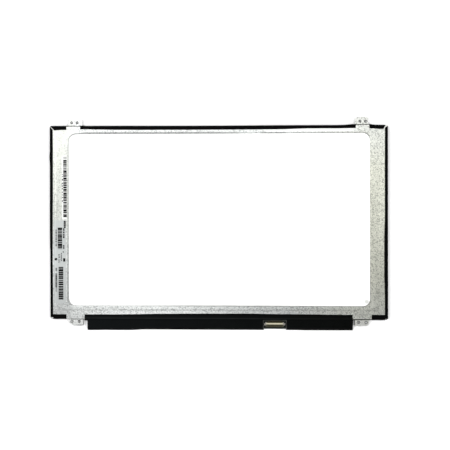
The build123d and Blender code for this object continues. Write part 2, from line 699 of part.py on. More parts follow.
# ---------------------------------------------------------------- finished pieces
pieces = {
    "back_plate": back_plate.part,
    "mould_frame": mould_frame.part,
    "upper_prism_film": upper_prism_film,
    "lower_prism_film": lower_prism_film,
    "diffuser_film": diffuser_film,
    "light_guide": light_guide.part,
    "reflector_sheet": reflector_sheet.part,
    "led_chips": led_chips.part,
    "led_flex": led_flex.part,
    "light_strip_tape": light_strip_tape.part,
    "cell_tape": cell_tape.part,
    "rear_polariser": rear_polariser.part,
    "tft_glass": tft_glass.part,
    "colour_filter_glass": colour_filter_glass.part,
    "front_polariser": front_polariser.part,
    "driver_films": driver_films.part,
    "driver_chips": driver_chips.part,
    "circuit_board": circuit_board.part,
    "timing_controller": timing_controller,
    "bias_supply_chip": bias_supply_chip,
    "backlight_driver_chip": backlight_driver_chip,
    "gamma_buffer_chip": gamma_buffer_chip,
    "memory_chip": memory_chip,
    "power_inductors": power_inductors.part,
    "ceramic_capacitors": ceramic_capacitors.part,
    "chip_resistors": chip_resistors.part,
    "rectifier_diode": rectifier_diode.part,
    "input_fuse": input_fuse.part,
    "flex_socket": flex_socket.part,
    "flex_socket_latch": flex_socket_latch.part,
    "signal_socket_body": signal_socket_body.part,
    "signal_socket_contacts": signal_socket_contacts.part,
    "signal_socket_brackets": signal_socket_brackets.part,
    "board_cover_film": board_cover_film.part,
    "front_shading_tape": front_shading_tape.part,
    "edge_tape_upper": edge_tape_upper.part,
    "edge_tape_left": edge_tape_left,
    "edge_tape_right": edge_tape_right,
    "edge_tape_lower_left": edge_tape_lower_left,
    "edge_tape_lower_right": edge_tape_lower_right,
    "rating_label": rating_label.part,
    "serial_label": serial_label.part,
}

for name, piece in pieces.items():
    piece.label = name
    export_step(piece, "parts/" + name + ".step")
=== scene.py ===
import json
import math
import random

import bmesh
import bpy
from mathutils import Euler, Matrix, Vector, noise
from mathutils.geometry import delaunay_2d_cdt


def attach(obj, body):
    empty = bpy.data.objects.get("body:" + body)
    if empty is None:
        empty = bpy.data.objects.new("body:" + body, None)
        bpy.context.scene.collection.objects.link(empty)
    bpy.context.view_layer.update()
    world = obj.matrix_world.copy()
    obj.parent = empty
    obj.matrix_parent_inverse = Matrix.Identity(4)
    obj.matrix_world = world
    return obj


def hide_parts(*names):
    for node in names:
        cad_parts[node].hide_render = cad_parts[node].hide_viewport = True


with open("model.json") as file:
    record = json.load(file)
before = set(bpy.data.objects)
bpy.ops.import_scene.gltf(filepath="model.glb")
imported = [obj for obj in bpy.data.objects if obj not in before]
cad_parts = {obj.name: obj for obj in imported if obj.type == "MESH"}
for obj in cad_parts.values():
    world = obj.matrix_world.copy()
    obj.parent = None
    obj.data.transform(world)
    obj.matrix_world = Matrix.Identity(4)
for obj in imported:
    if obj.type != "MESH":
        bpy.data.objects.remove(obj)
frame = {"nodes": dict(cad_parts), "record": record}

nodes = frame["nodes"]
scene = bpy.context.scene
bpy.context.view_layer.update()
MM = 0.001
rng = random.Random(1560)

# ------------------------------------------------------------------ dimensions shared with the construction, in millimetres
HALF_W, Y_UP, Y_LOW = 179.75, 103.9, -101.1
Z_REAR, TAPE_T = 3.10, 0.08          # rear face of the edge tape, tape thickness
NECK_UL, NECK_UR = (-161.8, -147.5), (146.4, 160.1)
NECK_LL, NECK_LR = (-162.2, -143.1), (142.9, 162.4)
FILM_L, FILM_R, FILM_SHOULDER = -140.0, 142.7, -142.9
Y_FILM_END = -112.3
NOTCH_L, NOTCH_R, NOTCH_TOP = 48.4, 72.3, -102.2


# ------------------------------------------------------------------ camera, straight down on the rear with a slight lean
cam_data = bpy.data.cameras.new("camera")
cam_data.sensor_width = 36.0
cam_data.sensor_fit = "HORIZONTAL"
cam_data.lens = 166.843
cam_data.clip_start, cam_data.clip_end = 0.05, 50.0
cam = bpy.data.objects.new("camera", cam_data)
cam.location = (0.22492, 0.02273, 2.2)
cam.rotation_euler = Euler((math.radians(-0.632), math.radians(5.645), math.radians(-0.103)), "XYZ")
scene.collection.objects.link(cam)
scene.camera = cam
scene.view_settings.view_transform = "Standard"
scene.view_settings.look = "None"


# ------------------------------------------------------------------ material helpers
class Kit:
    """A material's node tree with short ways to add the usual nodes."""

    def __init__(self, name):
        self.mat = bpy.data.materials.new(name)
        self.mat.use_nodes = True
        self.nt = self.mat.node_tree
        self.nt.nodes.clear()
        self.out = self.nt.nodes.new("ShaderNodeOutputMaterial")
        self.bsdf = self.nt.nodes.new("ShaderNodeBsdfPrincipled")
        self.nt.links.new(self.bsdf.outputs[0], self.out.inputs[0])
        self.co = self.nt.nodes.new("ShaderNodeTexCoord").outputs["Object"]

    def link(self, a, b):
        self.nt.links.new(a, b)

    def put(self, socket, value):
        if isinstance(value, bpy.types.NodeSocket):
            self.link(value, socket)
        else:
            socket.default_value = value

    def noise(self, scale, detail=2.0, rough=0.5, stretch=None, distort=0.0):
        co = self.co
        if stretch:
            m = self.nt.nodes.new("ShaderNodeMapping")
            m.inputs["Scale"].default_value = stretch
            self.link(self.co, m.inputs["Vector"])
            co = m.outputs[0]
        n = self.nt.nodes.new("ShaderNodeTexNoise")
        n.inputs["Scale"].default_value = scale
        n.inputs["Detail"].default_value = detail
        n.inputs["Roughness"].default_value = rough
        n.inputs["Distortion"].default_value = distort
        self.link(co, n.inputs["Vector"])
        return n.outputs[0]

    def cells(self, scale, feature="F1", out="Color"):
        v = self.nt.nodes.new("ShaderNodeTexVoronoi")
        v.feature = feature
        v.inputs["Scale"].default_value = scale
        self.link(self.co, v.inputs["Vector"])
        if out == "Color":
            s = self.nt.nodes.new("ShaderNodeSeparateColor")
            self.link(v.outputs["Color"], s.inputs[0])
            return s.outputs[0]
        return v.outputs[out]

    def remap(self, value, a, b, c, d, smooth=False):
        r = self.nt.nodes.new("ShaderNodeMapRange")
        r.interpolation_type = "SMOOTHSTEP" if smooth else "LINEAR"
        r.clamp = True
        for k, x in zip(("From Min", "From Max", "To Min", "To Max"), (a, b, c, d)):
            r.inputs[k].default_value = x
        self.link(value, r.inputs["Value"])
        return r.outputs[0]

    def math(self, op, a, b=0.0):
        m = self.nt.nodes.new("ShaderNodeMath")
        m.operation = op
        self.put(m.inputs[0], a)
        self.put(m.inputs[1], b)
        return m.outputs[0]

    def mix(self, fac, a, b, blend="MIX"):
        m = self.nt.nodes.new("ShaderNodeMix")
        m.data_type = "RGBA"
        m.blend_type = blend
        self.put(m.inputs[0], fac)
        for sock, v in ((m.inputs[6], a), (m.inputs[7], b)):
            if isinstance(v, bpy.types.NodeSocket):
                self.link(v, sock)
            else:
                sock.default_value = (*v, 1.0)
        return m.outputs[2]

    def ramp(self, value, stops):
        """Piecewise straight curve through (value, result) pairs, results from 0 to 1."""
        lo, hi = stops[0][0], stops[-1][0]
        r = self.nt.nodes.new("ShaderNodeValToRGB")
        e = r.color_ramp.elements
        e[0].position, e[1].position = 0.0, 1.0
        e[0].color = (*[stops[0][1]] * 3, 1.0)
        e[1].color = (*[stops[-1][1]] * 3, 1.0)
        for a, v in stops[1:-1]:
            n = e.new((a - lo) / (hi - lo))
            n.color = (v, v, v, 1.0)
        self.link(self.remap(value, lo, hi, 0.0, 1.0), r.inputs[0])
        s = self.nt.nodes.new("ShaderNodeSeparateColor")
        self.link(r.outputs[0], s.inputs[0])
        return s.outputs[0]

    def axis(self, name):
        s = self.nt.nodes.new("ShaderNodeSeparateXYZ")
        self.link(self.co, s.inputs[0])
        return s.outputs[name]

    def spot(self, centre, radius, soft):
        """1 inside a round spot, 0 outside it."""
        d = self.nt.nodes.new("ShaderNodeVectorMath")
        d.operation = "DISTANCE"
        d.inputs[1].default_value = centre
        self.link(self.co, d.inputs[0])
        return self.remap(d.outputs["Value"], radius, radius + soft, 1.0, 0.0, smooth=True)

    def bump(self, height, strength, distance, under=None):
        b = self.nt.nodes.new("ShaderNodeBump")
        b.inputs["Strength"].default_value = strength
        b.inputs["Distance"].default_value = distance
        self.link(height, b.inputs["Height"])
        if under is not None:
            self.link(under, b.inputs["Normal"])
        return b.outputs[0]

    def finish(self, colour, rough, metal=0.0, normal=None, **fixed):
        b = self.bsdf
        if isinstance(colour, bpy.types.NodeSocket):
            self.link(colour, b.inputs["Base Color"])
        else:
            b.inputs["Base Color"].default_value = (*colour, 1.0)
        self.put(b.inputs["Roughness"], rough)
        b.inputs["Metallic"].default_value = metal
        if normal is not None:
            self.link(normal, b.inputs["Normal"])
        for k, v in fixed.items():
            b.inputs[k.replace("_", " ")].default_value = v
        return self.mat


def varied(name, a, b, scale, rough=(0.4, 0.6), metal=0.0, grain=None, bump=(0.15, 2e-5), fine=0.0, **fixed):
    """Two close tones mixed by noise, a varying roughness and a fine bump."""
    k = Kit(name)
    n = k.noise(scale, 4.0, 0.6, grain)
    colour = k.mix(k.remap(n, 0.3, 0.7, 0.0, 1.0), a, b)
    if fine:
        speck = k.remap(k.cells(fine), 0.0, 1.0, 0.86, 1.14)
        mul = k.nt.nodes.new("ShaderNodeVectorMath")
        mul.operation = "SCALE"
        k.link(colour, mul.inputs[0])
        k.link(speck, mul.inputs["Scale"])
        colour = mul.outputs[0]
    r = k.remap(k.noise(scale * 2.3, 3.0, 0.6, grain), 0.3, 0.7, *rough)
    return k.finish(colour, r, metal, k.bump(k.noise(scale * 6.0, 3.0, 0.6, grain), *bump), **fixed)


# ------------------------------------------------------------------ materials
def zinc_steel():
    k = Kit("zinc_steel")
    # zinc grains of about a millimetre: most of them light, some dull, each with its own tone
    g1 = k.cells(1020.0)
    g2 = k.cells(2100.0)
    dull = k.remap(g1, 0.08, 0.38, 1.0, 0.0, smooth=True)
    fine = k.remap(g2, 0.0, 1.0, -1.0, 1.0)
    mott = k.remap(k.noise(900.0, 4.0, 0.7), 0.28, 0.72, -1.0, 1.0)
    cloud = k.remap(k.noise(24.0, 3.0, 0.55), 0.3, 0.7, -1.0, 1.0)
    s = k.math("MULTIPLY", dull, -0.85)
    s = k.math("ADD", s, k.math("MULTIPLY", fine, 0.30))
    s = k.math("ADD", s, k.math("MULTIPLY", mott, 0.36))
    s = k.math("ADD", s, k.math("MULTIPLY", cloud, 0.04))
    x, y = k.axis("X"), k.axis("Y")
    # the grains stand out more towards the right and along the bottom, least at the upper left
    gain = k.math("MAXIMUM", k.remap(x, -0.155, -0.120, 1.0, 1.28), k.remap(y, -0.088, -0.082, 1.28, 1.0))
    gain = k.math("MULTIPLY", gain, k.math("MAXIMUM", k.remap(x, -0.160, -0.150, 0.0, 1.0), k.remap(y, 0.055, 0.075, 1.0, 0.60)))
    s = k.math("SUBTRACT", k.math("MULTIPLY", k.math("ADD", s, 0.196), gain), 0.196)
    fac = k.remap(s, -1.0, 0.6, 0.0, 1.0)
    warm_left = k.math("MULTIPLY", k.remap(x, -0.150, -0.166, 0.0, 0.45), k.remap(y, -0.03, 0.01, 0.0, 1.0))
    warm_right = k.math("MULTIPLY", k.remap(x, 0.06, 0.165, 0.0, 1.0, smooth=True), k.remap(y, 0.055, 0.098, 1.0, 0.40))
    warm_right = k.math("MULTIPLY", warm_right, k.remap(y, -0.095, -0.060, 0.62, 1.0))
    warm = k.math("MAXIMUM", warm_right, warm_left)
    dark = k.mix(warm, (0.406, 0.422, 0.418), (0.424, 0.432, 0.368))
    light = k.mix(warm, (0.908, 0.930, 0.914), (0.922, 0.932, 0.818))
    colour = k.mix(fac, dark, light)
    # painted highlight: the folded-down ears are painted brighter, where more light falls on them; painted shade: a
    # faint dark line follows the plate's lower step
    ear = k.remap(y, -0.1016, -0.1024, 0.0, 1.0)
    colour = k.mix(k.math("MULTIPLY", ear, k.remap(x, -0.14, 0.14, 0.45, 0.55)), colour, (0.975, 0.980, 0.955))
    # painted shade: the steel is painted darker towards its lower left corner, down its left band and along its right
    # strip, where less light is reflected
    shade_spot = k.math("MULTIPLY", k.spot((-0.170, -0.094, 0.003), 0.004, 0.020), 0.25)
    neck = k.math("MULTIPLY", k.remap(y, -0.0950, -0.0965, 0.0, 0.13), k.remap(x, -0.1410, -0.1430, 0.0, 1.0))
    shade_spot = k.math("MAXIMUM", shade_spot, neck)
    strip = k.math("MULTIPLY", k.remap(x, 0.164, 0.168, 0.0, 1.0), k.ramp(y, ((-0.100, 0.13), (-0.060, 0.11), (0.0, 0.02), (0.060, 0.04), (0.100, 0.08))))
    band = k.math("MULTIPLY", k.remap(x, -0.158, -0.162, 0.0, 1.0), k.ramp(y, ((-0.090, 0.06), (-0.020, 0.09), (0.004, 0.195), (0.030, 0.185), (0.052, 0.135), (0.088, 0.075), (0.100, 0.06))))
    colour = k.mix(k.math("MAXIMUM", k.math("MAXIMUM", shade_spot, band), strip), colour, (0.0, 0.0, 0.0))
    # painted highlight: a light strip above the window on the right
    over = k.math("MULTIPLY", k.remap(y, 0.0970, 0.0976, 0.0, 1.0), k.ramp(x, ((0.040, 0.0), (0.070, 0.75), (0.140, 0.75), (0.150, 0.0))))
    colour = k.mix(k.math("MULTIPLY", over, k.remap(y, 0.1030, 0.1036, 1.0, 0.0)), colour, (0.985, 0.990, 0.975))
    # painted shadow along the cut edges of the lower ears: right and lower edge on the left one, left edge on the right
    # one
    ex = k.math("SUBTRACT", k.math("ABSOLUTE", k.math("ADD", x, 0.15185)), 0.00575)
    ey = k.math("SUBTRACT", k.math("MULTIPLY", y, -1.0), 0.1059)
    qx, qy = k.math("MAXIMUM", ex, 0.0), k.math("MAXIMUM", ey, 0.0)
    ed = k.math("SUBTRACT", k.math("SQRT", k.math("ADD", k.math("MULTIPLY", qx, qx), k.math("MULTIPLY", qy, qy))), 0.0023)
    rim = k.math("MULTIPLY", k.remap(ed, -0.00080, -0.00050, 0.0, 1.0), k.remap(x, -0.1560, -0.1490, 0.0, 0.85))
    rim = k.math("MULTIPLY", rim, k.math("MULTIPLY", k.remap(y, -0.1016, -0.1022, 0.0, 1.0), k.remap(x, -0.1400, -0.1390, 1.0, 0.0)))
    rim2 = k.math("MULTIPLY", k.remap(x, 0.1448, 0.1451, 0.88, 0.0), k.math("MULTIPLY", k.remap(x, 0.1430, 0.1435, 0.0, 1.0), k.remap(y, -0.1010, -0.1016, 0.0, 1.0)))
    colour = k.mix(k.math("MAXIMUM", rim, rim2), colour, (0.030, 0.031, 0.029))
    # painted shade: a faint dark line along the plate's lower step, the shade of the step
    step = k.remap(k.math("ABSOLUTE", k.math("ADD", y, k.remap(x, -0.12, 0.12, 0.0922, 0.0915))), 0.0004, 0.0009, 1.0, 0.0)
    step = k.math("MULTIPLY", step, k.remap(k.math("ABSOLUTE", x), 0.168, 0.172, 1.0, 0.0))
    colour = k.mix(k.math("MULTIPLY", step, k.remap(k.noise(420.0, 2.0, 0.5), 0.35, 0.65, 0.05, 0.32)), colour, (0.10, 0.10, 0.095))
    # painted shade along the window's lip: most of it along the upper edge, some at the corners, little below
    cx = k.math("SUBTRACT", k.math("ABSOLUTE", k.math("SUBTRACT", x, 0.00065)), 0.15235)
    cy = k.math("SUBTRACT", k.math("ABSOLUTE", k.math("SUBTRACT", y, 0.00425)), 0.08325)
    px, py = k.math("MAXIMUM", cx, 0.0), k.math("MAXIMUM", cy, 0.0)
    d = k.math("SUBTRACT", k.math("SQRT", k.math("ADD", k.math("MULTIPLY", px, px), k.math("MULTIPLY", py, py))), 0.008)
    upper = k.remap(y, 0.0900, 0.0945, 0.0, 1.0, smooth=True)
    reach = k.math("ADD", k.math("MULTIPLY", upper, k.math("MULTIPLY", k.ramp(x, ((-0.160, 0.0), (-0.150, 0.15), (-0.142, 0.95), (-0.10, 1.0), (0.02, 0.625), (0.045, 0.20), (0.10, 0.20), (0.14, 0.45))), 0.0016)), 0.0009)
    reach = k.math("ADD", reach, k.math("MULTIPLY", k.remap(x, -0.1560, -0.1590, 0.0, 1.0), k.math("MULTIPLY", k.remap(y, 0.05, -0.07, 0.0006, 0.0015), k.remap(y, 0.080, 0.088, 1.0, 0.0))))
    lip = k.remap(k.math("DIVIDE", d, reach), 0.85, 1.10, 1.0, 0.0, smooth=True)
    side = k.math("MULTIPLY", k.remap(x, -0.1560, -0.1590, 0.0, 1.0), k.remap(y, 0.06, -0.08, 0.20, 0.42))
    corner = k.math("MULTIPLY", k.remap(px, 0.0005, 0.0040, 0.0, 1.0), k.remap(py, 0.0005, 0.0040, 0.0, 0.40))
    low = k.math("MULTIPLY", k.remap(x, -0.10, 0.16, 0.20, 0.55), k.remap(y, -0.02, -0.085, 0.0, 1.0))
    amount = k.math("MAXIMUM", k.math("MAXIMUM", k.math("MULTIPLY", upper, k.ramp(x, ((-0.16, 0.57), (0.0, 0.54), (0.020, 0.42), (0.028, 0.06), (0.044, 0.06), (0.047, 0.50), (0.070, 0.50), (0.074, 0.12), (0.098, 0.10), (0.112, 0.20), (0.16, 0.24)))), side), k.math("MAXIMUM", corner, low))
    colour = k.mix(k.math("MULTIPLY", lip, amount), colour, (0.055, 0.056, 0.052))
    # painted shade in the creases where the ears are folded down, and a faint painted dark line across the upper left
    # neck
    up = k.remap(k.math("ABSOLUTE", k.math("SUBTRACT", y, k.remap(x, -0.14, 0.14, 0.10385, 0.10445))), 0.00030, 0.00052, 1.0, 0.0)
    dn = k.remap(k.math("ABSOLUTE", k.math("ADD", y, k.remap(x, -0.14, 0.14, 0.10130, 0.10078))), 0.00036, 0.00058, 1.0, 0.0)
    faint = k.math("MULTIPLY", k.remap(k.math("ABSOLUTE", k.math("SUBTRACT", y, 0.1008)), 0.0003, 0.0006, 0.14, 0.0), k.math("MULTIPLY", k.remap(x, -0.1480, -0.1475, 1.0, 0.0), k.remap(x, -0.1620, -0.1615, 0.0, 1.0)))
    colour = k.mix(faint, colour, (0.05, 0.05, 0.05))
    crease = k.math("MAXIMUM", k.math("MULTIPLY", up, k.remap(x, -0.14, 0.14, 0.62, 0.93)), k.math("MULTIPLY", dn, k.remap(x, -0.14, 0.14, 0.40, 0.97)))
    colour = k.mix(crease, colour, (0.012, 0.012, 0.011))
    # painted shade: dark rings round the punched screw holes, standing in for the shade inside the holes
    for hx, hy in ((-0.1565, 0.1078), (-0.1505, 0.1078), (0.1505, 0.1078), (0.1565, 0.1078),
                   (-0.1567, -0.1040), (-0.1487, -0.1040), (0.1487, -0.1040), (0.1567, -0.1040)):
        ring = k.spot((hx, hy, 0.00212), 0.00145, 0.00028)
        colour = k.mix(k.math("MULTIPLY", ring, 0.95), colour, (0.010, 0.010, 0.009))
    rough = k.math("ADD", k.remap(mott, -1.0, 1.0, 0.30, 0.40), k.math("MULTIPLY", fine, 0.03))
    n1 = k.bump(k.cells(1020.0, out="Distance"), 0.08, 1.2e-5)
    n2 = k.bump(k.noise(900.0, 4.0, 0.6), 0.14, 1.5e-5, n1)
    return k.finish(colour, rough, 1.0, n2)


def white_sheet():
    k = Kit("white_sheet")
    n = k.remap(k.noise(14.0, 3.0, 0.5), 0.3, 0.7, 0.0, 1.0)
    colour = k.mix(n, (0.930, 0.930, 0.925), (0.950, 0.950, 0.950))
    # a faint grey mark near the lower right corner
    colour = k.mix(k.spot((0.1573, -0.0820, 0.00242), 0.0012, 0.0020), colour, (0.545, 0.55, 0.525))
    # a grey line on the sheet at the foot of the window's lower lip
    x, y = k.axis("X"), k.axis("Y")
    foot = k.remap(k.math("ADD", y, k.math("MULTIPLY", k.remap(k.noise(60.0, 3.0, 0.6), 0.3, 0.7, -1.0, 1.0), 0.00012)), -0.0866, -0.0858, 1.0, 0.0)
    foot = k.math("MULTIPLY", foot, k.math("MINIMUM", k.remap(x, -0.10, -0.03, 0.45, 1.0), k.remap(x, 0.05, 0.12, 1.0, 0.60)))
    colour = k.mix(k.math("MULTIPLY", foot, 0.85), colour, (0.36, 0.365, 0.35))
    rough = k.remap(k.noise(120.0, 3.0, 0.6), 0.3, 0.7, 0.42, 0.55)
    nrm = k.bump(k.noise(18.0, 2.0, 0.4), 0.12, 4e-4)
    nrm = k.bump(k.noise(1400.0, 3.0, 0.6), 0.08, 1e-5, nrm)
    return k.finish(colour, rough, 0.0, nrm)


def black_tape(name="black_tape"):
    k = Kit(name)
    n = k.remap(k.noise(60.0, 4.0, 0.6), 0.3, 0.7, 0.0, 1.0)
    colour = k.mix(n, (0.0003, 0.0003, 0.0003), (0.0007, 0.0007, 0.0007))
    dust = k.remap(k.noise(2600.0, 2.0, 0.5), 0.72, 0.80, 0.0, 1.0)
    colour = k.mix(k.math("MULTIPLY", dust, 0.3), colour, (0.014, 0.014, 0.013))
    rough = k.remap(k.noise(240.0, 4.0, 0.6), 0.3, 0.7, 0.42, 0.58)
    nrm = k.bump(k.noise(90.0, 3.0, 0.5), 0.20, 6e-5)
    nrm = k.bump(k.noise(1500.0, 3.0, 0.6), 0.18, 1.5e-5, nrm)
    return k.finish(colour, rough, 0.0, nrm, Specular_IOR_Level=0.03)


def black_film():
    k = Kit("black_film")
    x = k.remap(k.axis("X"), -0.14, 0.14, 0.0, 1.0)
    n = k.remap(k.noise(34.0, 4.0, 0.6), 0.3, 0.7, 0.0, 1.0)
    left = k.mix(n, (0.0017, 0.0024, 0.0027), (0.0026, 0.0035, 0.0038))
    right = k.mix(n, (0.0002, 0.0004, 0.0003), (0.0005, 0.0008, 0.0007))
    colour = k.mix(x, left, right)
    scuff = k.remap(k.noise(420.0, 4.0, 0.65, (1.0, 6.0, 1.0)), 0.66, 0.82, 0.0, 1.0)
    colour = k.mix(k.math("MULTIPLY", scuff, 0.4), colour, (0.016, 0.018, 0.018))
    # darker along the stuck-down upper edge; a painted highlight, a dull pale line, where the film bends over the
    # plate's edge
    y = k.axis("Y")
    colour = k.mix(k.remap(y, -0.0988, -0.0968, 0.0, 0.85), colour, (0.0001, 0.0001, 0.0001))
    bend = k.remap(k.math("ABSOLUTE", k.math("ADD", y, 0.1003)), 0.0003, 0.0007, 1.0, 0.0)
    bend = k.math("MULTIPLY", bend, k.remap(k.noise(90.0, 3.0, 0.6), 0.3, 0.7, 0.5, 1.0))
    colour = k.mix(k.math("MULTIPLY", bend, k.remap(k.axis("X"), 0.03, 0.10, 0.9, 0.3)), colour, (0.0125, 0.0130, 0.0128))
    # painted glint: a pale line round the socket's notch, where the film's cut edge catches the light
    dx = k.math("SUBTRACT", k.math("ABSOLUTE", k.math("SUBTRACT", k.axis("X"), 0.06035)), 0.01195)
    dy = k.math("ADD", k.axis("Y"), 0.1022)
    edge = k.remap(k.math("MAXIMUM", dx, dy), 0.00030, 0.00050, 1.0, 0.0)
    edge = k.math("MULTIPLY", edge, k.remap(k.noise(300.0, 2.0, 0.5), 0.35, 0.6, 0.45, 1.0))
    colour = k.mix(edge, colour, (0.085, 0.088, 0.080))
    rough = k.remap(k.noise(160.0, 4.0, 0.6), 0.3, 0.7, 0.38, 0.54)
    nrm = k.bump(k.noise(40.0, 2.0, 0.5, (1.0, 2.5, 1.0)), 0.25, 1.2e-4)
    nrm = k.bump(k.noise(1300.0, 3.0, 0.6), 0.12, 1e-5, nrm)
    return k.finish(colour, rough, 0.0, nrm, Specular_IOR_Level=0.045)


def label_film(name, a, b, metal):
    k = Kit(name)
    n = k.remap(k.noise(45.0, 3.0, 0.5), 0.3, 0.7, 0.0, 1.0)
    fibre = k.remap(k.noise(1500.0, 4.0, 0.65), 0.3, 0.7, 0.0, 1.0)
    colour = k.mix(k.math("ADD", k.math("MULTIPLY", n, 0.6), k.math("MULTIPLY", fibre, 0.4)), a, b)
    colour = k.mix(k.remap(k.axis("Y"), -0.080, -0.045, 0.10, 0.0), colour, (0.0, 0.0, 0.0))
    rough = k.remap(k.noise(300.0, 3.0, 0.6), 0.3, 0.7, 0.42, 0.52)
    return k.finish(colour, rough, metal, k.bump(k.noise(1200.0, 3.0, 0.6), 0.15, 1.2e-5))


def board_mask():
    k = Kit("board")
    n = k.remap(k.noise(260.0, 4.0, 0.6), 0.3, 0.7, 0.0, 1.0)
    colour = k.mix(n, (0.0022, 0.0040, 0.0030), (0.0042, 0.0066, 0.0050))
    # a lighter strip along the lower edge
    edge = k.remap(k.math("ABSOLUTE", k.math("ADD", k.axis("Y"), 0.1106)), 0.00022, 0.00034, 1.0, 0.0)
    colour = k.mix(k.math("MULTIPLY", edge, 0.8), colour, (0.060, 0.072, 0.062))
    rough = k.remap(k.noise(500.0, 3.0, 0.6), 0.3, 0.7, 0.34, 0.48)
    return k.finish(colour, rough, 0.0, k.bump(k.cells(2400.0, out="Distance"), 0.10, 2e-5), Specular_IOR_Level=0.14)


def socket_resin():
    k = Kit("socket_resin")
    n = k.remap(k.noise(420.0, 4.0, 0.6), 0.3, 0.7, 0.0, 1.0)
    cream = k.mix(n, (0.43, 0.400, 0.280), (0.52, 0.490, 0.360))
    floor_tone = k.mix(n, (0.020, 0.019, 0.008), (0.034, 0.032, 0.014))
    # painted shade: the socket's floor below the ridge is painted dark, as in shade
    colour = k.mix(k.remap(k.axis("Z"), 0.00150, 0.00185, 0.0, 1.0), floor_tone, cream)
    # painted shade: the back wall and the side arms towards the mouth are painted dark, as shaded inside the socket;
    # only a narrow ridge keeps the cream colour
    colour = k.mix(k.remap(k.axis("Y"), -0.1051, -0.1047, 0.0, 0.9), colour, floor_tone)
    colour = k.mix(k.remap(k.axis("Y"), -0.1066, -0.1061, 1.0, 0.0), colour, floor_tone)
    rough = k.remap(k.noise(700.0, 3.0, 0.6), 0.3, 0.7, 0.40, 0.55)
    return k.finish(colour, rough, 0.0, k.bump(k.noise(2500.0, 3.0, 0.6), 0.12, 1.5e-5))


M = {
    "zinc_steel": zinc_steel(),
    "white_sheet": white_sheet(),
    "black_tape": black_tape(),
    "black_film": black_film(),
    "white_moulding": varied("white_moulding", (0.80, 0.80, 0.78), (0.86, 0.86, 0.84), 90.0, (0.40, 0.55), bump=(0.1, 2e-5)),
    "clear_film": varied("clear_film", (0.80, 0.83, 0.85), (0.86, 0.89, 0.90), 30.0, (0.22, 0.34), grain=(1.0, 40.0, 1.0)),
    "clear_acrylic": varied("clear_acrylic", (0.86, 0.90, 0.90), (0.90, 0.94, 0.94), 24.0, (0.06, 0.12)),
    "cell_glass": varied("cell_glass", (0.42, 0.50, 0.48), (0.48, 0.56, 0.53), 40.0, (0.06, 0.12)),
    "polariser": varied("polariser", (0.010, 0.0104, 0.0116), (0.014, 0.0145, 0.016), 26.0, (0.30, 0.38), bump=(0.12, 1e-5), fine=6000.0),
    "foam_tape": varied("foam_tape", (0.74, 0.75, 0.72), (0.82, 0.83, 0.80), 240.0, (0.7, 0.85)),
    "flex_amber": varied("flex_amber", (0.36, 0.18, 0.045), (0.46, 0.25, 0.075), 110.0, (0.3, 0.45)),
    "led_body": varied("led_body", (0.86, 0.83, 0.66), (0.90, 0.88, 0.76), 500.0, (0.25, 0.4)),
    "chip_epoxy": varied("chip_epoxy", (0.018, 0.018, 0.020), (0.030, 0.030, 0.033), 900.0, (0.5, 0.65)),
    "ceramic_body": varied("ceramic_body", (0.42, 0.30, 0.19), (0.54, 0.41, 0.28), 900.0, (0.45, 0.6)),
    "ferrite": varied("ferrite", (0.11, 0.11, 0.12), (0.18, 0.18, 0.19), 900.0, (0.55, 0.7)),
    "latch_resin": varied("latch_resin", (0.035, 0.034, 0.033), (0.05, 0.05, 0.05), 500.0, (0.4, 0.55)),
    "board": board_mask(),
    "socket_resin": socket_resin(),
    "gold_contact": varied("gold_contact", (0.042, 0.037, 0.015), (0.080, 0.069, 0.030), 700.0, (0.34, 0.48), metal=1.0),
    "tinned_bracket": varied("tinned_bracket", (0.26, 0.25, 0.22), (0.52, 0.50, 0.46), 600.0, (0.28, 0.42), metal=1.0),
    "label_paper": label_film("label_paper", (0.415, 0.434, 0.430), (0.462, 0.481, 0.476), 0.75),
    "label_white": label_film("label_white", (0.655, 0.665, 0.650), (0.715, 0.725, 0.710), 0.70),
    "ink": varied("ink", (0.0020, 0.0020, 0.0020), (0.0060, 0.0060, 0.0060), 700.0, (0.5, 0.65), Specular_IOR_Level=0.10),
}
slot_of = {p["node"]: p["material_slot"] for p in frame["record"]["subparts"]}
for name, obj in nodes.items():
    obj.data.materials.clear()
    obj.data.materials.append(M[slot_of[name]])
nodes["serial_label"].data.materials.clear()
nodes["serial_label"].data.materials.append(M["label_white"])


# ------------------------------------------------------------------ geometry helpers
def wave(seed, s, scale):
    """Smooth seeded variation along a length in millimetres, about -1 to 1."""
    return noise.noise(Vector((s / scale, 7.31 * seed, 0.5 * seed)))


def smooth01(t):
    t = min(max(t, 0.0), 1.0)
    return t * t * (3.0 - 2.0 * t)


def add_piece(name, bm, material, thickness=None, replaces=None):
    bmesh.ops.recalc_face_normals(bm, faces=bm.faces) if thickness is None else None
    mesh = bpy.data.meshes.new(name)
    bm.to_mesh(mesh)
    bm.free()
    for p in mesh.polygons:
        p.use_smooth = True
    mesh.materials.append(material)
    obj = bpy.data.objects.new(name, mesh)
    scene.collection.objects.link(obj)
    if thickness:
        mod = obj.modifiers.new("thickness", "SOLIDIFY")
        mod.thickness = thickness * MM
        mod.offset = -1.0
        mod.use_even_offset = True
        mod.use_quality_normals = True
    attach(obj, "root")
    if replaces:
        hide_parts(replaces)
    return obj


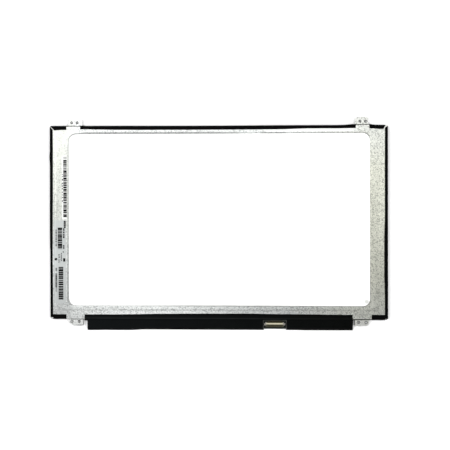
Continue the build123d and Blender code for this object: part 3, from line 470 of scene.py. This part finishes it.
# ------------------------------------------------------------------ edge tapes: thin black strips bent round the outline
def tape_section(front_lip, rear_lip, flare, z_front=0.13, z_rear=Z_REAR, r=0.36):
    """Outer face of a C-shaped strip as (inward distance, height, part), from the front lip's edge to the rear lip's edge."""
    pts = []
    if front_lip:
        for k in range(5):
            pts.append((front_lip + (r - front_lip) * k / 4.0, z_front, "front"))
        for k in range(1, 5):
            a = math.radians(22.5 * k)
            pts.append((r - r * math.sin(a), z_front + r - r * math.cos(a), "front"))
        low = z_front + r
    else:
        low = z_front
        pts.append((0.0, low, "wall"))
    high = z_rear - r
    for z in (low + (2.35 - low) * 0.5, 2.35, 0.5 * (2.35 + high), high):
        if z > pts[-1][1] + 0.02:
            pts.append((-flare * smooth01((z - low) / (high - low)) ** 1.3, z, "wall" if z <= 2.351 else "rear"))
    for k in range(1, 5):
        a = math.radians(22.5 * k)
        pts.append((r - r * math.cos(a) - flare, z_rear - r + r * math.sin(a), "rear"))
    for k in range(1, 7):
        pts.append((r - flare + (rear_lip - r + flare) * k / 6.0, z_rear, "rear"))
    return pts


def make_tape(name, place, s0, s1, section, ends, step=1.6, cuts=(), lift=None):
    """Sweeps a section along one side. place(s, u, z) gives a point, ends say how far each end is cut back:
    (slant, gap), where a slant of 1 is a mitre. Inside a cut only the front lip and the lower wall run on."""
    marks = sorted({s0, s1, *[c for pair in cuts for c in pair]})
    stations = []
    for a, b in zip(marks, marks[1:]):
        n = max(1, int(round((b - a) / step)))
        stations += [a + (b - a) * k / n for k in range(n)]
    stations.append(s1)
    bm = bmesh.new()
    columns, kinds = [], None
    for s in stations:
        pts = section(s)
        kinds = [p[2] for p in pts]
        col = []
        for u, z, part in pts:
            reach = max(u, 0.0)
            (m0, g0), (m1, g1) = ends
            shift = (reach * m0 + g0) * max(0.0, 1.0 - (s - s0) / 14.0)
            shift -= (reach * m1 + g1) * max(0.0, 1.0 - (s1 - s) / 14.0)
            up = lift(s, u) if (lift and part == "rear") else 0.0
            x, y, h = place(s + shift, u, z + up)
            col.append(bm.verts.new((x * MM, y * MM, h * MM)))
        columns.append(col)
    for i in range(len(stations) - 1):
        mid = 0.5 * (stations[i] + stations[i + 1])
        inside = any(a < mid < b for a, b in cuts)
        for k in range(len(kinds) - 1):
            if inside and (kinds[k + 1] == "rear"):
                continue
            bm.faces.new((columns[i][k], columns[i + 1][k], columns[i + 1][k + 1], columns[i][k + 1]))
    loose = [v for v in bm.verts if not v.link_faces]
    bmesh.ops.delete(bm, geom=loose, context="VERTS")
    return bm


def facing_out(bm, inside):
    """Turns every face away from a point or line that is inside the strip."""
    for f in bm.faces:
        c = f.calc_center_median()
        if f.normal.dot(c - inside(c)) < 0.0:
            f.normal_flip()


def near(s, at, span):
    """1 at a place along the tape, falling to 0 over a span."""
    return math.exp(-((s - at) / span) ** 2)


def along(s, table):
    """Smoothly joins a few (place, value) pairs."""
    if s <= table[0][0]:
        return table[0][1]
    for (a, va), (b, vb) in zip(table, table[1:]):
        if s <= b:
            return va + (vb - va) * smooth01((s - a) / (b - a))
    return table[-1][1]


def lip_lift(seed, rear_lip):
    """Shallow bubbles and a slightly raised inner edge."""
    def lift(s, u):
        t = max(0.0, min(1.0, u / rear_lip))
        return 0.018 * max(0.0, wave(seed, s, 9.0)) * math.sin(math.pi * t) + 0.035 * max(0.0, wave(seed + 3, s, 17.0)) * t * t
    return lift


LEFT_LIP = ((-101, 2.92), (-90, 2.84), (-71, 2.80), (-38, 2.62), (-6, 2.72), (47, 3.02), (79, 3.08), (96, 2.94))
RIGHT_LIP = ((-93, 3.30), (-80, 3.36), (-49, 3.96), (-17, 3.90), (14, 3.26), (46, 3.28), (77, 3.26), (96, 3.12))
UPPER_LIP = ((-179, 4.05), (-167, 3.76), (-143, 3.20), (-131, 3.44), (-104, 3.96), (-61, 4.18), (-19, 4.26), (66, 4.16), (98, 3.45), (130, 3.48), (143, 3.30), (165, 3.76), (172, 4.28))
UPPER_FLARE = ((-179, 0.62), (-167, 0.62), (-143, 0.52), (-131, 0.56), (-104, 0.44), (-58, 0.16), (-20, 0.02), (20, 0.0), (60, 0.12), (150, 0.02))


def left_section(s):
    rear = along(s, LEFT_LIP) + 0.05 * wave(1, s, 16.0) + 0.06 * wave(2, s, 5.0)
    flare = 0.42 * near(s, 71.0, 4.6) + 0.30 * smooth01((s + 32.0) / 10.0) + 0.16 * near(s, 5.0, 30.0) + 0.03 * (1.0 + wave(5, s, 31.0))
    return tape_section(5.85 + 0.10 * wave(4, s, 30.0), rear, flare)


def right_section(s):
    rear = along(s, RIGHT_LIP) + 0.05 * wave(11, s, 14.0) + 0.05 * wave(12, s, 5.0)
    return tape_section(5.85 + 0.10 * wave(14, s, 30.0), rear, 0.02 * (1.0 + wave(15, s, 28.0)))


def upper_section(s):
    rear = along(s, UPPER_LIP) + 0.05 * wave(21, s, 18.0) + 0.05 * wave(22, s, 6.0)
    flare = along(s, UPPER_FLARE) + 0.35 * near(s, NECK_UL[1] + 0.5, 5.5) + 0.10 * near(s, NECK_UL[0] - 1.0, 9.0)
    flare += 0.95 * near(s, NECK_UR[0] - 0.5, 9.0) * (s < NECK_UR[0] + 1.0) + 0.80 * near(s, NECK_UR[1] + 0.3, 4.2)
    return tape_section(3.3 + 0.08 * wave(24, s, 30.0), rear, min(flare, 1.0) + 0.02 * (1.0 + wave(25, s, 33.0)))


def lower_section(seed, width):
    def section(s):
        rear = width + 0.08 * wave(seed, s, 7.0)
        return tape_section(0.0, rear, 0.32, z_front=1.25, r=0.12)
    return section


MID = Vector((0.0, 0.0, 0.0016))


def core_x(side):
    return lambda c: Vector((side * 0.1770, c.y, 0.0016))


def core_y(sign, y):
    return lambda c: Vector((c.x, y, 0.0016))


bm = make_tape("edge_tape_left_strip", lambda s, u, z: (-HALF_W + u, s, z), Y_LOW, Y_UP, left_section,
               ((0.10, 1.35), (1.0, 0.40)), lift=lip_lift(31, 2.4))
bm.normal_update(); facing_out(bm, core_x(-1))
add_piece("edge_tape_left_strip", bm, M["black_tape"], TAPE_T, "edge_tape_left")

bm = make_tape("edge_tape_right_strip", lambda s, u, z: (HALF_W - u, s, z), Y_LOW, Y_UP, right_section,
               ((0.0, 1.05), (0.69, 1.00)), lift=lip_lift(37, 3.1))
bm.normal_update(); facing_out(bm, core_x(1))
add_piece("edge_tape_right_strip", bm, M["black_tape"], TAPE_T, "edge_tape_right")

bm = make_tape("edge_tape_upper_strip", lambda s, u, z: (s, Y_UP - u, z), -HALF_W, HALF_W, upper_section,
               ((1.0, 0.35), (0.56, 2.20)), cuts=((NECK_UL[0] - 0.25, NECK_UL[1] + 0.25), (NECK_UR[0] - 0.25, NECK_UR[1] + 0.25)),
               lift=lip_lift(41, 3.8))
bm.normal_update(); facing_out(bm, core_y(1, 0.1020))
add_piece("edge_tape_upper_strip", bm, M["black_tape"], TAPE_T, "edge_tape_upper")

bm = make_tape("edge_tape_lower_left_strip", lambda s, u, z: (s, Y_LOW + u, z), -HALF_W, NECK_LL[0] - 0.2, lower_section(51, 4.75),
               ((0.0, 2.95), (0.0, 0.0)), step=0.9, lift=lip_lift(47, 4.8))
bm.normal_update(); facing_out(bm, core_y(-1, -0.0990))
add_piece("edge_tape_lower_left_strip", bm, M["black_tape"], TAPE_T, "edge_tape_lower_left")

bm = make_tape("edge_tape_lower_right_strip", lambda s, u, z: (s, Y_LOW + u, z), NECK_LR[1] + 0.2, HALF_W, lower_section(53, 5.25),
               ((0.0, 0.0), (0.0, 3.15)), step=0.9, lift=lip_lift(49, 4.8))
bm.normal_update(); facing_out(bm, core_y(-1, -0.0990))
add_piece("edge_tape_lower_right_strip", bm, M["black_tape"], TAPE_T, "edge_tape_lower_right")


# ------------------------------------------------------------------ black film over the circuit board
def rounded_path(points, radius, steps=6):
    """Polyline with its corners rounded."""
    pts = [Vector(p) for p in points]
    out = [pts[0]]
    for a, b, c in zip(pts, pts[1:], pts[2:]):
        d1, d2 = (a - b).normalized(), (c - b).normalized()
        half = d1.angle(d2) / 2.0
        t = radius / math.tan(half)
        centre = b + (d1 + d2).normalized() * (radius / math.sin(half))
        p1, p2 = b + d1 * t, b + d2 * t
        v1, v2 = p1 - centre, p2 - centre
        for k in range(steps + 1):
            v = v1.lerp(v2, k / steps)
            out.append(centre + v.normalized() * radius)
    out.append(pts[-1])
    return out


def offset_path(points, d):
    """Polyline moved sideways by d, corners kept."""
    pts = [Vector(p) for p in points]
    lines = []
    for a, b in zip(pts, pts[1:]):
        t = (b - a).normalized()
        n = Vector((-t.y, t.x))
        lines.append((a + n * d, b + n * d))
    out = [lines[0][0]]
    for (a, b), (c, e) in zip(lines, lines[1:]):
        u, v = b - a, e - c
        k = (c - a).cross(v) / u.cross(v)
        out.append(a + u * k)
    out.append(lines[-1][1])
    return out


FILM_T = 0.10
film_path = [(-95.9, 3.02), (-100.65, 3.02), (-102.65, 2.07), (-110.45, 2.07), (-111.65, 0.55), (-112.3, 0.55)]
film_top = rounded_path(offset_path([(-y, z) for y, z in film_path], FILM_T), 0.55)
film_top = sorted((-p.x, p.y) for p in film_top)


def film_z(y):
    if y <= film_top[0][0]:
        return film_top[0][1]
    if y >= film_top[-1][0]:
        return film_top[-1][1]
    for (y0, z0), (y1, z1) in zip(film_top, film_top[1:]):
        if y <= y1:
            return z0 + (z1 - z0) * (y - y0) / max(1e-9, y1 - y0)
    return film_top[-1][1]


FILM_UPPER = ((-140, -96.40), (-116, -96.30), (-94, -96.10), (-62, -95.50), (-30, -95.25), (2, -95.10), (34, -95.02), (66, -95.45), (98, -95.55), (119, -95.80), (140, -95.95))
FILM_LOWER = ((-140, -113.15), (-115, -113.00), (-94, -113.00), (-70, -111.65), (-30, -110.95), (4, -110.60), (36, -111.60), (76, -112.15), (97, -112.45), (140, -112.40))


def film_end(x):
    """Lower edge: a little short in the middle, full length at both ends."""
    return along(x, FILM_LOWER) + 0.04 * wave(61, x, 9.0)


def film_start(x):
    """Upper edge: laid on by hand, a little bowed."""
    return along(x, FILM_UPPER) + 0.03 * wave(67, x, 14.0)


def film_wrinkle(x, y):
    """Gentle unevenness where the film spans the board, none where it is stuck down."""
    free = smooth01((-101.2 - y) / 1.6) * smooth01((y + 111.6) / 2.0)
    return free * (0.05 * noise.noise(Vector((x / 21.0, y / 6.0, 3.7))) + 0.02 * noise.noise(Vector((x / 6.0, y / 3.0, 9.1))))


def make_film():
    # outline in the plane: right end, lower edge with the notch, left end with its shoulder, upper edge
    outline = []

    def run(x0, x1, fy, n):
        for k in range(n + 1):
            x = x0 + (x1 - x0) * k / n
            outline.append((x, fy(x)))

    r = 0.8
    run(FILM_R - 0.5, NOTCH_R, film_end, 48)
    for k in range(9):
        a = math.radians(90.0 * k / 8)
        outline.append((NOTCH_R - r + r * math.cos(a), NOTCH_TOP - r + r * math.sin(a)))
    for k in range(9):
        a = math.radians(90.0 + 90.0 * k / 8)
        outline.append((NOTCH_L + r + r * math.cos(a), NOTCH_TOP - r + r * math.sin(a)))
    run(NOTCH_L, FILM_L + 0.4, film_end, 110)
    outline += [(FILM_L, film_end(FILM_L) + 0.4), (FILM_L, -103.4), (FILM_L - 0.4, -102.95), (FILM_SHOULDER + 0.4, -102.9), (FILM_SHOULDER, -102.5)]
    outline += [(FILM_SHOULDER, film_start(FILM_SHOULDER) - 0.4), (FILM_SHOULDER + 0.4, film_start(FILM_SHOULDER + 0.4))]
    run(FILM_SHOULDER + 1.6, FILM_R - 0.4, film_start, 140)
    outline += [(FILM_R, film_start(FILM_R) - 0.4), (FILM_R, film_end(FILM_R) + 0.5)]
    # rows follow the folds, columns every couple of millimetres
    rows = sorted({round(y, 4) for y, z in film_top} | {-95.9 - 0.8 * k for k in range(1, 6)} | {-103.2 - 0.9 * k for k in range(8)})
    clean = []
    for i, p in enumerate(outline):
        q = outline[(i + 1) % len(outline)]
        chain = [p]
        if abs(q[1] - p[1]) > 0.3:
            hit = [y for y in rows if min(p[1], q[1]) + 0.02 < y < max(p[1], q[1]) - 0.02]
            for y in sorted(hit, reverse=q[1] < p[1]):
                chain.append((p[0] + (q[0] - p[0]) * (y - p[1]) / (q[1] - p[1]), y))
        for c in chain:
            if not clean or (Vector(c) - Vector(clean[-1])).length > 1e-4:
                clean.append(c)
    n = len(clean)
    verts = [Vector(p) for p in clean]
    edges = [(i, (i + 1) % n) for i in range(n)]

    def inside(x, y, gap):
        if not (film_end(x) + gap < y < film_start(x) - 0.15):
            return False
        left = FILM_SHOULDER if y > -102.9 + gap else FILM_L
        if not (left + gap < x < FILM_R - gap):
            return False
        return not (NOTCH_L - gap < x < NOTCH_R + gap and y < NOTCH_TOP + gap)

    x = FILM_SHOULDER + 0.9
    while x < FILM_R:
        for y in rows:
            if inside(x, y, 0.22):
                verts.append(Vector((x, y)))
        x += 1.9
    vs, _, faces, _, _, _ = delaunay_2d_cdt(verts, edges, [list(range(n))], 1, 1e-6)
    bm = bmesh.new()
    made = [bm.verts.new((v.x * MM, v.y * MM, (film_z(v.y) + film_wrinkle(v.x, v.y)) * MM)) for v in vs]
    for f in faces:
        bm.faces.new([made[i] for i in f])
    bm.normal_update()
    for f in bm.faces:
        if f.normal.z < 0:
            f.normal_flip()
    bmesh.ops.delete(bm, geom=[v for v in bm.verts if not v.link_faces], context="VERTS")
    return bm


add_piece("board_cover_film_sheet", make_film(), M["black_film"], FILM_T, "board_cover_film")


# ------------------------------------------------------------------ generic marks on the two labels: plain bars and dashes
INK_T = 0.012


def label_top(x):
    """Height of the wide label, which steps up with the plate."""
    return 3.08 + 0.10 * min(max((x + 174.61) / 1.2, 0.0), 1.0)


def add_bar(bm, x0, x1, y0, y1, top):
    """Thin closed bar lying on a label, following its height."""
    cuts = sorted({x0, x1, *[c for c in (-174.61, -173.41) if x0 < c < x1]})
    low, high = [], []
    for x in cuts:
        low.append([bm.verts.new((x * MM, y * MM, (top(x) - 0.004) * MM)) for y in (y0, y1)])
        high.append([bm.verts.new((x * MM, y * MM, (top(x) + INK_T) * MM)) for y in (y0, y1)])
    for i in range(len(cuts) - 1):
        bm.faces.new((high[i][0], high[i + 1][0], high[i + 1][1], high[i][1]))
        bm.faces.new((low[i][0], low[i][1], low[i + 1][1], low[i + 1][0]))
        bm.faces.new((low[i][0], low[i + 1][0], high[i + 1][0], high[i][0]))
        bm.faces.new((low[i][1], high[i][1], high[i + 1][1], low[i + 1][1]))
    bm.faces.new((low[0][0], high[0][0], high[0][1], low[0][1]))
    bm.faces.new((low[-1][0], low[-1][1], high[-1][1], high[-1][0]))


def bar_field(bm, x0, x1, y_from, y_to, top, wide, gaps):
    """Row of bars of uneven width, from y_from down to y_to."""
    y = y_from
    while y > y_to + 0.3:
        w = rng.choice(wide)
        add_bar(bm, x0, x1, max(y - w, y_to), y, top)
        y -= w + rng.choice(gaps)


def dash_column(bm, x0, x1, y_from, y_to, top, dash=(0.9, 2.2), gap=(0.35, 0.6)):
    """Column of short dashes in place of a line of print."""
    y = y_from
    while y > y_to + 0.4:
        d = rng.uniform(*dash)
        add_bar(bm, x0, x1, max(y - d, y_to), y, top)
        y -= d + rng.uniform(*gap)


def add_disc(bm, cx, cy, r, top, n=10):
    """Thin closed round dot lying on a label, made of strips that follow its height."""
    xs = {cx - r * math.cos(math.pi * (k + 0.35) / (n - 0.3)) for k in range(n)}
    xs |= {c for c in (-174.61, -173.41) if cx - r < c < cx + r}
    xs = sorted(xs)
    half = [math.sqrt(max(r * r - (x - cx) ** 2, 1e-4)) for x in xs]
    low = [[bm.verts.new((x * MM, (cy + e * h) * MM, (top(x) - 0.004) * MM)) for e in (-1, 1)] for x, h in zip(xs, half)]
    high = [[bm.verts.new((x * MM, (cy + e * h) * MM, (top(x) + INK_T) * MM)) for e in (-1, 1)] for x, h in zip(xs, half)]
    for i in range(len(xs) - 1):
        bm.faces.new((high[i][0], high[i + 1][0], high[i + 1][1], high[i][1]))
        bm.faces.new((low[i][0], low[i][1], low[i + 1][1], low[i + 1][0]))
        bm.faces.new((low[i][0], low[i + 1][0], high[i + 1][0], high[i][0]))
        bm.faces.new((low[i][1], high[i][1], high[i + 1][1], low[i + 1][1]))
    bm.faces.new((low[0][0], high[0][0], high[0][1], low[0][1]))
    bm.faces.new((low[-1][0], low[-1][1], high[-1][1], high[-1][0]))


bm = bmesh.new()
# two fields of bars
bar_field(bm, -171.60, -166.85, -3.9, -26.7, label_top, (0.8, 1.2, 1.9, 2.6), (0.16, 0.24, 0.50))
bar_field(bm, -170.85, -165.70, -45.8, -80.6, label_top, (0.8, 1.2, 1.8, 2.4), (0.28, 0.40, 0.75))
# dashes beside them
dash_column(bm, -165.20, -162.98, 3.3, -4.3, label_top, (0.9, 1.6), (0.16, 0.26))
dash_column(bm, -166.00, -164.30, -4.6, -15.9, label_top, (1.1, 2.4), (0.35, 0.7))
dash_column(bm, -166.00, -164.40, -22.5, -26.6, label_top, (1.1, 1.7), (0.25, 0.4))
dash_column(bm, -174.20, -172.45, -6.1, -24.2, label_top, (0.5, 1.0), (0.55, 0.9))
dash_column(bm, -174.20, -172.45, -46.9, -50.2, label_top, (0.7, 1.0), (0.4, 0.5))
dash_column(bm, -174.35, -172.40, -52.8, -67.4, label_top, (0.8, 1.6), (0.26, 0.40))
dash_column(bm, -174.20, -172.50, -67.6, -72.4, label_top, (0.5, 0.8), (0.5, 0.8))
# a dot, a line, some strokes and a block between the two fields
add_disc(bm, -173.65, -37.60, 1.42, label_top)
add_bar(bm, -171.9, -167.4, -37.85, -37.60, label_top)
for c in (-171.1, -169.9):
    dash_column(bm, c, c + 0.80, -32.4, -36.9, label_top, (0.5, 1.0), (0.5, 0.9))
    dash_column(bm, c, c + 0.80, -38.4, -41.6, label_top, (0.5, 1.0), (0.5, 0.9))
dash_column(bm, -168.2, -167.3, -30.9, -39.6, label_top, (1.0, 2.0), (0.3, 0.5))
add_bar(bm, -165.9, -163.5, -40.2, -36.6, label_top)
add_bar(bm, -166.3, -165.2, -30.5, -29.2, label_top)
add_piece("rating_label_marks", bm, M["ink"])

bm = bmesh.new()
serial_top = lambda x: 3.18
bar_field(bm, -165.55, -161.83, 68.3, 6.4, serial_top, (0.9, 1.4, 1.9, 2.4), (0.30, 0.45, 0.68))
bar_field(bm, -165.50, -161.85, 71.4, 69.1, serial_top, (0.30,), (0.42,))
dash_column(bm, -167.05, -165.95, 53.0, 23.3, serial_top, (0.6, 1.8), (1.0, 2.6))
add_piece("serial_label_marks", bm, M["ink"])


# ------------------------------------------------------------------ floor and light
floor_mesh = bpy.data.meshes.new("floor")
floor_mesh.from_pydata([(-6, -6, -0.0002), (6, -6, -0.0002), (6, 6, -0.0002), (-6, 6, -0.0002)], [], [(0, 1, 2, 3)])
floor = bpy.data.objects.new("floor", floor_mesh)
floor_mesh.materials.append(varied("floor_paint", (0.88, 0.88, 0.88), (0.90, 0.90, 0.90), 3.0, (0.7, 0.8)))
scene.collection.objects.link(floor)

world = bpy.data.worlds.new("world")
scene.world = world
world.use_nodes = True
bg = world.node_tree.nodes["Background"]
bg.inputs["Color"].default_value = (1.0, 1.0, 1.0, 1.0)
bg.inputs["Strength"].default_value = 0.18


def softbox(name, place, aim, size, radiance, colour=(1.0, 1.0, 1.0)):
    """Rectangular light of a given radiance, aimed at a point."""
    data = bpy.data.lights.new(name, "AREA")
    data.shape = "RECTANGLE"
    data.size, data.size_y = size
    data.energy = radiance * math.pi * size[0] * size[1]
    data.color = colour
    obj = bpy.data.objects.new(name, data)
    obj.location = place
    obj.rotation_euler = (Vector(aim) - Vector(place)).to_track_quat("-Z", "Y").to_euler()
    obj.visible_camera = False
    scene.collection.objects.link(obj)
    return obj


# overhead rack of soft panels, brighter towards the upper left; strong fills from both ends light the floor, weak ones in front and behind keep the steel grey
for name, x, y, w, h, radiance in (
    ("top_left", -0.14, 0.17, 0.42, 0.14, 2.3),
    ("top_right", 0.21, 0.17, 0.28, 0.14, 1.40),
    ("top_end", -0.42, 0.17, 0.14, 0.14, 1.8),
    ("mid_left", -0.21, 0.03, 0.28, 0.14, 0.90),
    ("mid_right", 0.25, 0.03, 0.20, 0.14, 1.30),
    ("low_left", -0.13, -0.11, 0.16, 0.14, 1.9),
    ("low_corner", -0.28, -0.25, 0.14, 0.14, 0.25),
):
    softbox(name, (x, y, 0.55), (x, y, 0.0), (w, h), radiance)
for name, turn, size, radiance in (("fill_right", 0.0, (1.4, 0.8), 5.2), ("fill_left", 180.0, (1.4, 0.8), 5.2),
                                   ("fill_back", 90.0, (2.4, 1.0), 0.8), ("fill_front", -90.0, (2.4, 1.0), 0.8)):
    t, e = math.radians(turn), math.radians(42.0)
    softbox(name, (1.6 * math.cos(e) * math.cos(t), 1.6 * math.cos(e) * math.sin(t), 1.6 * math.sin(e)), (0.0, 0.0, 0.0), size, radiance)
